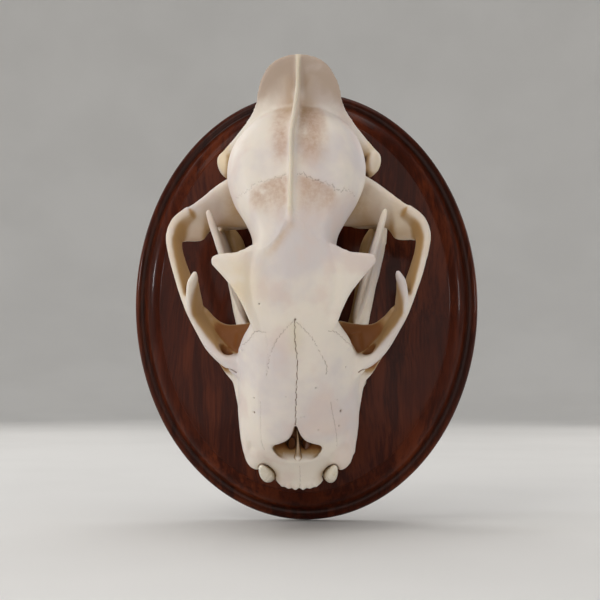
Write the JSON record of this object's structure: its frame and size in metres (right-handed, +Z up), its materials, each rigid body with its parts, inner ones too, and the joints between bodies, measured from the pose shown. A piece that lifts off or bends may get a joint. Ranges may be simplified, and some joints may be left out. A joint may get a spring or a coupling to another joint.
{
  "type": "mounted leopard skull on a wall plaque",
  "caption": "Life-size leopard skull with its lower jaw, hung nose down on an oval moulded wooden wall plaque.",
  "frame": {"origin": "centre of the plaque's flat back, on the wall", "axes": "+Z up the wall towards the back of the head, -Y out of the wall through the crown, +X the animal's left"},
  "size_m": [0.2032, 0.1261, 0.254],
  "materials": {
    "wood": "dark red-brown stained hardwood, polished to a gloss",
    "bone": "cleaned ivory-white bone with a soft sheen, tan in its hollows, with glossier enamel on the teeth"
  },
  "bodies": {
    "root": {"plaque": "wood", "cranium": "bone", "jaw_left": "bone", "jaw_right": "bone"}
  },
  "joints": []
}
